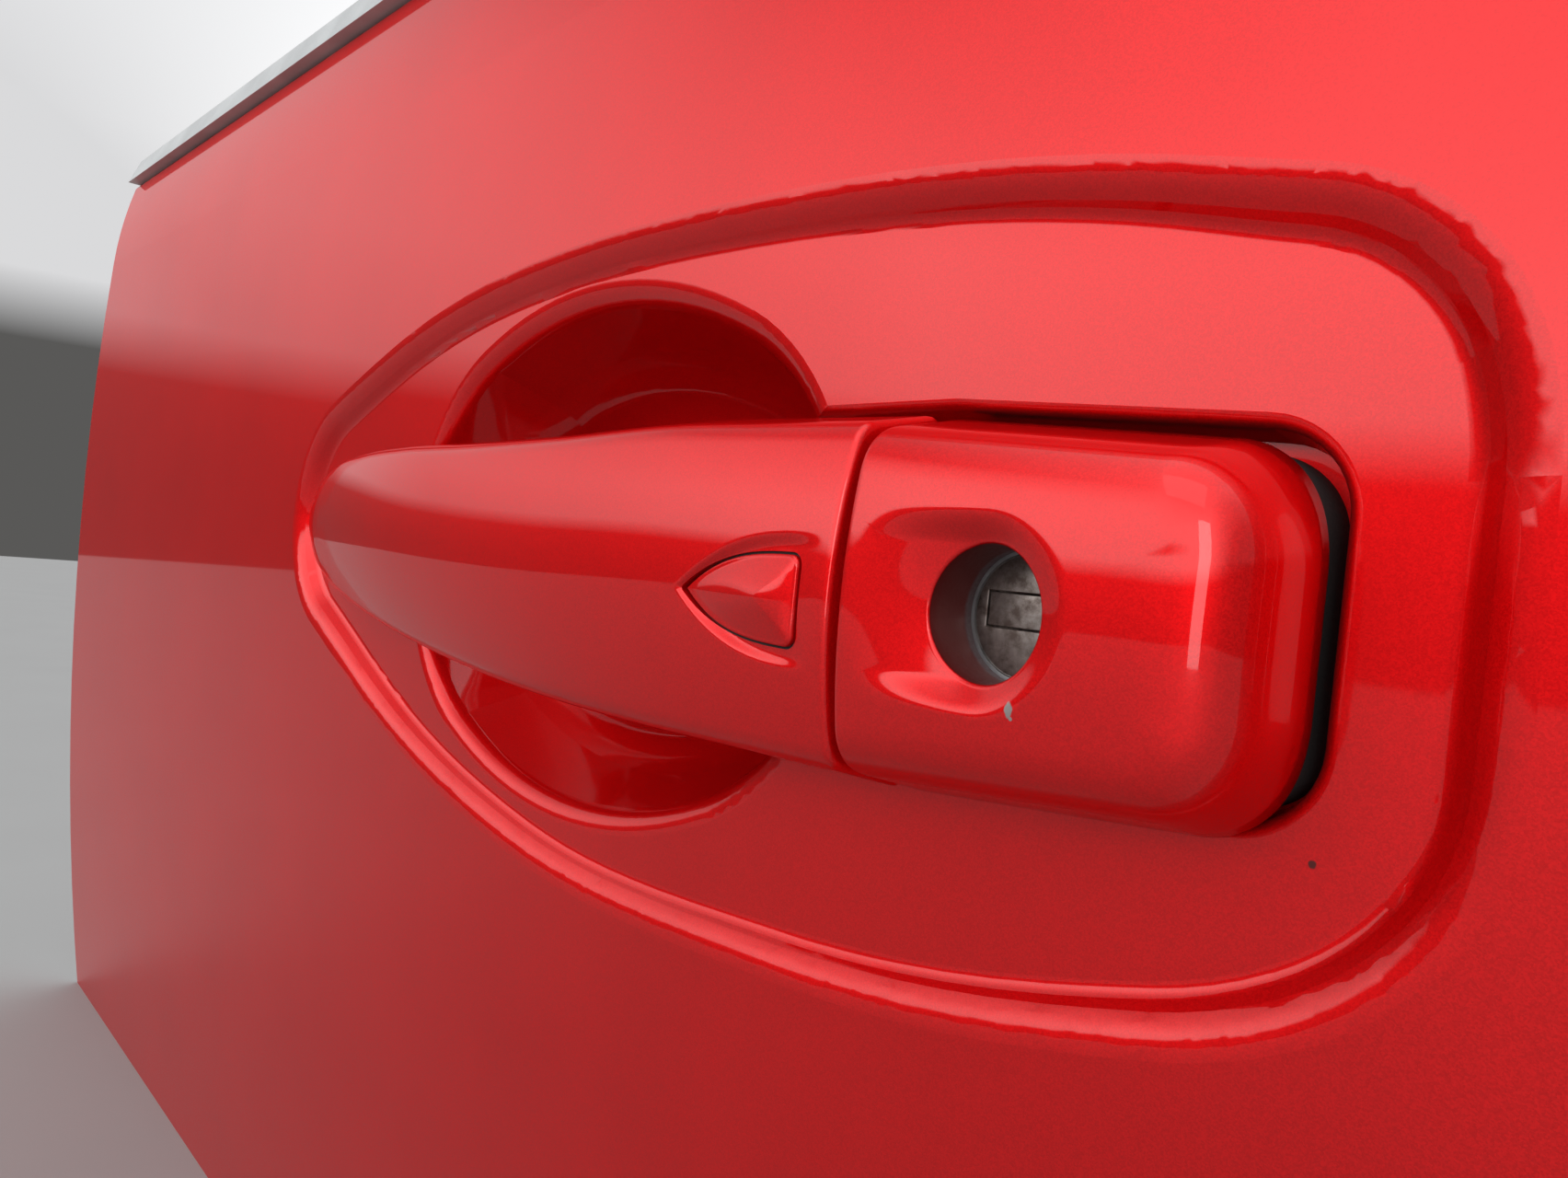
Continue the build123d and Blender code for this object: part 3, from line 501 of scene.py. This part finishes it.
def makeLockFace(v):
    centreX, centreZ = v["centre"]
    left, right, low, high = v["window"]
    angles = [2 * np.pi * k / v["steps"] for k in range(v["steps"])]
    angles += [atan2(z - centreZ, x - centreX) % (2 * np.pi) for x in (left, right) for z in (low, high)]
    angles.sort()

    def windowReach(angle, grow):
        c, s = np.cos(angle), np.sin(angle)
        sideX = (right + grow - centreX if c > 0 else centreX - left + grow) / max(abs(c), 1e-9)
        sideZ = (high + grow - centreZ if s > 0 else centreZ - low + grow) / max(abs(s), 1e-9)
        return min(sideX, sideZ)

    bevel, lip = v["rimBevel"], v["windowBevel"]
    rings = [
        (lambda a: v["radius"], v["back"]),
        (lambda a: v["radius"], v["front"] + bevel / 2),
        (lambda a: v["radius"] - bevel, v["front"]),
        (lambda a: windowReach(a, lip), v["front"]),
        (lambda a: windowReach(a, 0.0), v["front"] + lip),
        (lambda a: windowReach(a, 0.0), v["back"]),
    ]
    mesh = bmesh.new()
    made = []
    for reach, y in rings:
        made.append([mesh.verts.new(((centreX + reach(a) * np.cos(a)) * mm, y * mm,
                                     (centreZ + reach(a) * np.sin(a)) * mm)) for a in angles])
    for k in range(len(made)):
        bridge(mesh, made[k], made[(k + 1) % len(made)])
    finishPiece("lockFace", mesh, [plugSteel], "lock", sharp=30.0)

    gap = v["shutterGap"]
    mesh = bmesh.new()
    bmesh.ops.create_cube(mesh, size=1.0)
    size = Vector((right - left - 2 * gap, v["shutterBack"] - v["shutterFront"], high - low - 2 * gap))
    middle = Vector(((left + right) / 2, (v["shutterFront"] + v["shutterBack"]) / 2, (low + high) / 2))
    for vert in mesh.verts:
        vert.co = Vector([vert.co[i] * size[i] + middle[i] for i in range(3)]) * mm
    bmesh.ops.bevel(mesh, geom=mesh.edges[:], offset=v["shutterBevel"] * mm, segments=3, affect="EDGES", profile=0.5)
    shutter = finishPiece("keyShutter", mesh, [plugSteel], "lock", sharp=50.0)
    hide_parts("key_shutter")


makeLockFace(lockValues)
print("lock face made")


# Grip's outer half: long rounded nose, crowned face, and the soft brow round the unlock button
gripValues = {
    "sections": [  # x, middle z, half height, front y, edge y, crown, corner radius
        (-0.7, 0.15, 22.0, -17.5, -1.5, 3.0, 4.0), (-20.0, 0.06, 22.18, -18.15, -2.73, 3.12, 4.12),
        (-32.0, 0.0, 22.3, -18.5, -3.5, 3.2, 4.2), (-64.0, -0.5, 21.4, -18.7, -4.8, 3.6, 4.5),
        (-96.0, 0.0, 20.1, -17.2, -4.9, 3.9, 4.4), (-126.0, 1.2, 18.6, -14.3, -4.2, 3.9, 3.8),
        (-151.0, 2.3, 16.4, -10.5, -3.1, 3.3, 2.9), (-170.0, 3.1, 13.2, -7.0, -2.3, 2.3, 1.6),
        (-182.0, 3.2, 8.8, -4.6, -1.9, 1.3, 0.9), (-188.0, 3.3, 4.2, -2.9, -1.7, 0.5, 0.4)],
    "flare": 13.0,
    "rollSeam": 0.8,
    "split": [(5.0, -3.0), (-75.0, -6.0), (-172.0, -3.4)],
    "splitFade": 3.0,
    "edgeLift": 0.4,
    "leastWall": 0.05,
    "longSteps": 64,
    "longSpread": 0.8,
    "seamRings": 5,
    "browSteps": 96,
    "faceSteps": 120,
    "cornerSteps": 8,
    "sideSteps": 6,
    "browTip": -25.9,
    "browLead": 2.0,
    "browTipSlope": 0.75,
    "browRear": -4.4,
    "browRearFade": (2.5, 3.0),
    "browHalf": 7.6,
    "browRound": 2.6,
    "browFloor": -17.3,
    "browWall": 1.5,
    "browOut": 0.15,
    "middleZ": -1.05,
}
buttonValues = {
    "tip": -24.9,
    "rear": -5.55,
    "half": 5.15,
    "outlineSteps": 60,
    "tipSpread": 1.6,
    "round": 3.1,
    "cornerRadius": 1.4,
    "cornerSteps": 9,
    "middleZ": -1.05,
    "apexX": -9.1,
    "centreShift": 1.6,
    "base": -17.3,
    "rise": 2.3,
    "flankPast": 6.0,
    "flankWiden": 1.12,
    "ridgeSoft": 0.02,
    "ridgeRise": 1.04,
    "ridgeLead": 1.0,
    "ridgeMost": 1.05,
    "rearSlope": 0.72,
    "leastRise": 0.25,
    "soften": 0.42,
    "edgeRoll": 0.45,
    "rollRings": 6,
    "bottom": -16.6,
    "wellGap": 0.30,
    "wellFloor": -15.6,
    "wellTop": -26.0,
    "rings": 26,
}


def alongSections(values, x):
    rows = np.array(values["sections"])[::-1]
    knots = rows[:, 0]
    place = np.clip(np.searchsorted(knots, x) - 1, 0, len(knots) - 2)
    gaps = np.diff(knots)
    t = (x - knots[place]) / gaps[place]
    out = []
    for column in range(1, rows.shape[1]):
        data = rows[:, column]
        chord = np.diff(data) / gaps
        slope = np.empty(len(data))
        slope[1:-1] = (chord[:-1] * gaps[1:] + chord[1:] * gaps[:-1]) / (gaps[1:] + gaps[:-1])
        slope[0], slope[-1] = chord[0], chord[-1]
        a, b = data[place], data[place + 1]
        ma, mb = slope[place] * gaps[place], slope[place + 1] * gaps[place]
        out.append(a * (2 * t**3 - 3 * t**2 + 1) + ma * (t**3 - 2 * t**2 + t) + b * (3 * t**2 - 2 * t**3)
                   + mb * (t**3 - t**2))
    return out


def splitHeight(values, x):
    places = np.array(values["split"])
    curve = np.polyfit(places[:, 0], places[:, 1], 2)
    return np.polyval(curve, x)


def buttonHalf(x, tip, rear, half, roundness):
    s = np.clip((x - tip) / (rear - tip), 0.0, 1.0)
    return half * (1 - (1 - s) ** roundness)


def gripRow(v, x, inset):
    middle, half, front, edge, crown, corner = [float(c) for c in alongSections(v, x)]
    half, front = half - inset, front + inset
    flare = np.tan(radians(v["flare"]))
    edgeY = front + crown
    edgeZ = half - (edge - edgeY) * flare
    radius = (edgeZ ** 2 + crown ** 2) / (2 * crown)
    lean = np.arcsin(edgeZ / radius)
    turn = np.pi / 2 - radians(v["flare"]) - lean
    back = corner * np.tan(turn / 2)
    arcZ = edgeZ - back * np.cos(lean)
    z = np.linspace(-arcZ, arcZ, v["faceSteps"] + 1)
    face = np.stack([z, front + radius - np.sqrt(radius ** 2 - z ** 2)], axis=1)
    split = splitHeight(v, max(x, v["split"][-1][0]))
    share = smoothRamp(v["split"][-1][0], v["split"][-1][0] - v["splitFade"], x)
    low = split + (edge + v["edgeLift"] - split) * share
    wallStart = np.array([edgeZ + back * np.sin(radians(v["flare"])), edgeY + back * np.cos(radians(v["flare"]))])
    wallStart[1] = min(wallStart[1], low - v["leastWall"])
    wallEnd = np.array([edgeZ + (low - edgeY) * flare, low])
    corners = []
    for k in range(1, v["cornerSteps"] + 1):
        t = k / v["cornerSteps"]
        corners.append(face[-1] * (1 - t) ** 2 + np.array([edgeZ, edgeY]) * 2 * t * (1 - t) + wallStart * t ** 2)
    for k in range(1, v["sideSteps"] + 1):
        corners.append(wallStart + (wallEnd - wallStart) * k / v["sideSteps"])
    right = np.array(corners)
    left = right[::-1] * np.array([-1, 1])
    row = np.concatenate([left, face, right])
    zs, ys = row[:, 0] + middle, row[:, 1]
    if x > v["browTip"] - v["browLead"]:
        browed = buttonHalf(x, v["browTip"], v["browRear"], v["browHalf"], v["browRound"])
        inside = browed - np.abs(zs - v["middleZ"])
        inside = np.minimum(inside, (x - v["browTip"]) * v["browTipSlope"])
        rear = smoothRamp(v["browRear"] + v["browRearFade"][0], v["browRear"] - v["browRearFade"][1], x)
        share = smoothRamp(-v["browOut"], v["browWall"], inside) * rear
        floor = v["browFloor"] + (ys - front)
        ys = np.where(inside > -v["browOut"], ys + np.maximum(floor - ys, 0) * share, ys)
    return zs, ys


def makeGrip(v, button):
    seamX, noseX = v["sections"][0][0], v["sections"][-1][0]
    browX = v["browTip"] - v["browLead"]
    long = noseX + (browX - noseX) * np.linspace(0, 1, v["longSteps"]) ** v["longSpread"]
    near = np.linspace(browX, seamX - v["rollSeam"], v["browSteps"])[1:]
    stations = [(x, 0.0) for x in long] + [(x, 0.0) for x in near]
    for k in range(1, v["seamRings"] + 1):
        angle = k / v["seamRings"] * np.pi / 2
        stations.append((seamX - v["rollSeam"] * (1 - np.sin(angle)), v["rollSeam"] * (1 - np.cos(angle))))
    mesh = bmesh.new()
    rows = []
    for x, inset in stations:
        zs, ys = gripRow(v, x, inset)
        rows.append([mesh.verts.new((x * mm, y * mm, z * mm)) for z, y in zip(zs, ys)])
    for k in range(len(rows) - 1):
        bridge(mesh, rows[k], rows[k + 1])
    mesh.faces.new(rows[0])
    mesh.faces.new(rows[-1])
    piece = finishPiece("gripOuter", mesh, [handlePaint], "grip")

    outline = buttonOutline(button, button["wellGap"])
    mesh = bmesh.new()
    ends = [[mesh.verts.new((x * mm, y * mm, z * mm)) for x, z in outline]
            for y in (button["wellTop"], button["wellFloor"])]
    bridge(mesh, ends[0], ends[1])
    mesh.faces.new(ends[0])
    mesh.faces.new(ends[1])
    bmesh.ops.recalc_face_normals(mesh, faces=mesh.faces)
    data = bpy.data.meshes.new("buttonWell")
    mesh.to_mesh(data)
    mesh.free()
    cutter = bpy.data.objects.new("buttonWell", data)
    bpy.context.scene.collection.objects.link(cutter)
    cut = piece.modifiers.new("well", "BOOLEAN")
    cut.object = cutter
    cut.operation = "DIFFERENCE"
    cut.solver = "EXACT"
    makeReal(piece)
    bpy.data.objects.remove(cutter)
    bpy.data.meshes.remove(data)
    piece.data.set_sharp_from_angle(angle=radians(38))
    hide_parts("grip_outer")
    return piece


def buttonOutline(v, grow):
    xs = v["tip"] + (v["rear"] - v["tip"]) * np.linspace(0, 1, v["outlineSteps"]) ** v["tipSpread"]
    half = buttonHalf(xs, v["tip"], v["rear"], v["half"], v["round"])
    upper = np.stack([xs, v["middleZ"] + half], axis=1)
    cut = v["cornerRadius"]
    upper = upper[upper[:, 0] < v["rear"] - cut]
    top = v["middleZ"] + v["half"]
    arc = [(v["rear"] - cut + cut * np.sin(a), top - cut + cut * np.cos(a))
           for a in np.linspace(0, np.pi / 2, v["cornerSteps"])]
    side = np.concatenate([upper, np.array(arc)])
    mirrored = side[::-1].copy()
    mirrored[:, 1] = 2 * v["middleZ"] - mirrored[:, 1]
    loop = np.concatenate([side, mirrored[:-1]])
    ahead, behind = np.roll(loop, -1, axis=0), np.roll(loop, 1, axis=0)
    along = ahead - behind
    along /= np.linalg.norm(along, axis=1)[:, None]
    outward = np.stack([-along[:, 1], along[:, 0]], axis=1)
    return loop + outward * grow


def makeButton(v):
    outline = buttonOutline(v, 0.0)
    centre = np.array([v["apexX"] - v["centreShift"], v["middleZ"]])
    slope = v["rise"] / v["half"]

    def heightAt(plan):
        x, z = plan[:, 0], plan[:, 1]
        side = buttonHalf(x, v["tip"], v["rear"] + v["flankPast"], v["half"] * v["flankWiden"], v["round"])
        flank = slope * (side - np.sqrt((z - v["middleZ"]) ** 2 + v["ridgeSoft"]))
        ridgeStart = v["tip"] - v["ridgeLead"]
        ridge = v["rise"] * v["ridgeRise"] * np.clip((x - ridgeStart) / (v["apexX"] - ridgeStart), 0, v["ridgeMost"])
        rear = v["rearSlope"] * (v["rear"] - x)
        parts = np.stack([flank, ridge, rear + v["leastRise"]])
        k = v["soften"]
        return -k * 0.5 * np.log(np.exp(-parts / (k * 0.5)).sum(axis=0))

    mesh = bmesh.new()
    rings = []
    roll = v["edgeRoll"]
    toCentre = centre - outline
    reach = np.linalg.norm(toCentre, axis=1)[:, None]
    aim = toCentre / reach
    edgePlan = outline + aim * roll
    edgeHeight = v["base"] - np.maximum(heightAt(edgePlan), v["leastRise"])
    rings.append((outline, np.full(len(outline), v["bottom"])))
    rings.append((outline, edgeHeight + roll))
    for k in range(1, v["rollRings"]):
        angle = k / v["rollRings"] * np.pi / 2
        rings.append((outline + aim * roll * (1 - np.cos(angle)), edgeHeight + roll * (1 - np.sin(angle))))
    for k in range(v["rings"]):
        share = k / v["rings"]
        plan = edgePlan + (centre - edgePlan) * share
        rings.append((plan, v["base"] - np.maximum(heightAt(plan), v["leastRise"])))
    made = [[mesh.verts.new((x * mm, y * mm, z * mm)) for (x, z), y in zip(plan, height)] for plan, height in rings]
    for k in range(len(made) - 1):
        bridge(mesh, made[k], made[k + 1])
    topHeight = v["base"] - float(heightAt(centre[None, :])[0])
    tip = mesh.verts.new((centre[0] * mm, topHeight * mm, centre[1] * mm))
    last = made[-1]
    for i in range(len(last)):
        mesh.faces.new((last[i], last[(i + 1) % len(last)], tip))
    mesh.faces.new(made[0])
    piece = finishPiece("unlockButton", mesh, [handlePaint], "grip", sharp=50.0)
    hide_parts("unlock_button")
    return piece


makeGrip(gripValues, buttonValues)
makeButton(buttonValues)
print("grip and button made")


# Coils along X: the lever's return spring round its hub, and the rolled thread of the cap's screw
coilValues = {
    "leverSpring": {"body": "lever", "slot": "steel_pin", "place": (-14.5, 27.8, -31.93), "length": 2.4,
                    "turns": 2.3, "radius": 6.53, "wire": 0.5},
    "screwThread": {"body": "door_section", "slot": "steel_pin", "place": (30.0, 24.0, 0.0), "length": 11.4,
                    "turns": 11.4, "radius": 2.86, "wire": 0.26},
}


coilSteps = 40
wireSides = 10


def makeCoilTree():
    tree = bpy.data.node_groups.new("coil", "GeometryNodeTree")
    for name, kind in (("turns", "NodeSocketFloat"), ("length", "NodeSocketFloat"), ("radius", "NodeSocketFloat"),
                       ("wire", "NodeSocketFloat"), ("material", "NodeSocketMaterial")):
        tree.interface.new_socket(name, in_out="INPUT", socket_type=kind)
    tree.interface.new_socket("geometry", in_out="OUTPUT", socket_type="NodeSocketGeometry")
    given = tree.nodes.new("NodeGroupInput").outputs
    path = addNode(tree, "GeometryNodeCurveSpiral", [("Resolution", coilSteps), ("Rotations", given["turns"]),
                                                     ("Start Radius", given["radius"]),
                                                     ("End Radius", given["radius"]), ("Height", given["length"])])
    ring = addNode(tree, "GeometryNodeCurvePrimitiveCircle", [("Resolution", wireSides), ("Radius", given["wire"])])
    tube = addNode(tree, "GeometryNodeCurveToMesh", [("Curve", path.outputs["Curve"]),
                                                     ("Profile Curve", ring.outputs["Curve"]), ("Fill Caps", True)])
    real = addNode(tree, "GeometryNodeRealizeInstances", [("Geometry", tube.outputs["Mesh"])])
    dressed = addNode(tree, "GeometryNodeSetMaterial", [("Geometry", real.outputs["Geometry"]),
                                                        ("Material", given["material"])])
    addNode(tree, "NodeGroupOutput", [("geometry", dressed.outputs["Geometry"])])
    return tree


def makeCoil(tree, name, v):
    piece = bpy.data.objects.new(name, bpy.data.meshes.new(name))
    bpy.context.scene.collection.objects.link(piece)
    coil = piece.modifiers.new("coil", "NODES")
    coil.node_group = tree
    settings = {"turns": v["turns"], "length": v["length"] * mm, "radius": v["radius"] * mm, "wire": v["wire"] * mm,
                "material": finishes[v["slot"]]}
    for item in tree.interface.items_tree:
        if item.in_out == "INPUT":
            coil[item.identifier] = settings[item.name]
    makeReal(piece)
    turn = Matrix.Rotation(radians(90), 4, "Y")
    piece.data.transform(Matrix.Translation([p * mm for p in v["place"]]) @ turn)
    mesh = bmesh.new()
    mesh.from_mesh(piece.data)
    bmesh.ops.recalc_face_normals(mesh, faces=mesh.faces)
    mesh.to_mesh(piece.data)
    mesh.free()
    for polygon in piece.data.polygons:
        polygon.use_smooth = len(polygon.vertices) < 5
    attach(piece, v["body"])


coilTree = makeCoilTree()
for coilName, values in coilValues.items():
    makeCoil(coilTree, coilName, values)
print("coils made")


# Camera: close in front of the lock cap, looking forwards along the car and into the door
cameraValues = {
    "place": (0.081313, -0.102711, 0.002177),
    "right": (0.68745677, 0.71935086, 0.09968713),
    "down": (0.08059423, 0.06084995, -0.99488786),
    "forward": (-0.72173939, 0.69197661, -0.01614382),
    "focalPixels": 1200.0,
    "imageWidth": 1704.0,
    "sensor": 36.0,
    "clipStart": 0.004,
    "clipEnd": 50.0,
}


def makeCamera(values):
    data = bpy.data.cameras.new("camera")
    data.sensor_width = values["sensor"]
    data.sensor_fit = "HORIZONTAL"
    data.lens = values["focalPixels"] / values["imageWidth"] * values["sensor"]
    data.clip_start = values["clipStart"]
    data.clip_end = values["clipEnd"]
    camera = bpy.data.objects.new("camera", data)
    bpy.context.scene.collection.objects.link(camera)
    right = Vector(values["right"])
    up = -Vector(values["down"])
    back = -Vector(values["forward"])
    turn = Matrix((right, up, back)).transposed().to_4x4()
    camera.matrix_world = Matrix.Translation(values["place"]) @ turn
    bpy.context.scene.camera = camera


makeCamera(cameraValues)

# Stage: pale floor at the sheet's lower edge, a sky that brightens towards the rear, and two soft lamps
stageValues = {
    "floorSize": 8.0,
    "floorRoughness": 0.8,
    "mottleScale": 12.0,
    "mottleDark": 0.97,
    "floorColour": (0.24, 0.239, 0.236, 1),
    "ground": (0.10, 0.098, 0.095, 1),
    "skyLowFront": (0.7, 0.7, 0.71, 1),
    "skyLowRear": (2.8, 2.8, 2.8, 1),
    "skyBehind": (0.45, 0.45, 0.46, 1),
    "skyHighFront": (0.42, 0.43, 0.45, 1),
    "skyHighRear": (1.7, 1.72, 1.75, 1),
    "horizon": (0.115, 0.165),
    "highFrom": (0.28, 0.62),
    "lowFrontToRear": (-0.95, -0.62),
    "highFrontToRear": (-0.62, -0.30),
    "rearToBehind": (0.55, 0.90),
}
lampValues = {
    "sideBox": {"place": (1.0, -1.55, 0.25), "aim": (0.04, 0.0, 0.0), "size": (0.45, 1.1), "power": 6.0},
    "topBox": {"place": (0.25, -1.5, 1.9), "aim": (-0.05, 0.0, 0.0), "size": (1.8, 1.2), "power": 5.0},
}


def makeStage(values):
    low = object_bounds()[0].z
    half = values["floorSize"] / 2
    mesh = bpy.data.meshes.new("floor")
    corners = [(-half, -half, low), (half, -half, low), (half, half, low), (-half, half, low)]
    mesh.from_pydata(corners, [], [(0, 1, 2, 3)])
    floor = bpy.data.objects.new("floor", mesh)
    bpy.context.scene.collection.objects.link(floor)
    material, tree, shader, coords = newMaterial("floorPale")
    shader.inputs["Roughness"].default_value = values["floorRoughness"]
    mottle = addRange(tree, addNoise(tree, coords, values["mottleScale"]), *noiseSpan)
    darker = tuple(c * values["mottleDark"] for c in values["floorColour"][:3]) + (1,)
    tree.links.new(addMix(tree, mottle, darker, values["floorColour"]), shader.inputs["Base Color"])
    mesh.materials.append(material)
    floor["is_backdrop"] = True


def makeWorld(values):
    world = bpy.data.worlds.new("world")
    bpy.context.scene.world = world
    world.use_nodes = True
    tree = world.node_tree
    coords = addNode(tree, "ShaderNodeTexCoord").outputs["Generated"]
    way = addNode(tree, "ShaderNodeSeparateXYZ", [("Vector", coords)])
    height = way.outputs["Z"]
    along = way.outputs["X"]
    low = addMix(tree, addRange(tree, along, *values["lowFrontToRear"]), values["skyLowFront"], values["skyLowRear"])
    high = addMix(tree, addRange(tree, along, *values["highFrontToRear"]), values["skyHighFront"],
                  values["skyHighRear"])
    sky = addMix(tree, addRange(tree, height, *values["highFrom"]), low, high)
    sky = addMix(tree, addRange(tree, along, *values["rearToBehind"]), sky, values["skyBehind"])
    whole = addMix(tree, addRange(tree, height, *values["horizon"]), values["ground"], sky)
    tree.links.new(whole, tree.nodes["Background"].inputs["Color"])
    tree.nodes["Background"].inputs["Strength"].default_value = 1.0


def makeLamps(values):
    for name, lamp in values.items():
        data = bpy.data.lights.new(name, "AREA")
        data.shape = "RECTANGLE"
        data.size, data.size_y = lamp["size"]
        data.energy = lamp["power"]
        box = bpy.data.objects.new(name, data)
        bpy.context.scene.collection.objects.link(box)
        place = Vector(lamp["place"])
        toward = Vector(lamp["aim"]) - place
        box.matrix_world = Matrix.Translation(place) @ toward.to_track_quat("-Z", "Y").to_matrix().to_4x4()


bpy.context.scene.view_settings.view_transform = "Standard"
makeStage(stageValues)
makeWorld(stageValues)
makeLamps(lampValues)
print("stage, world and lamps made")
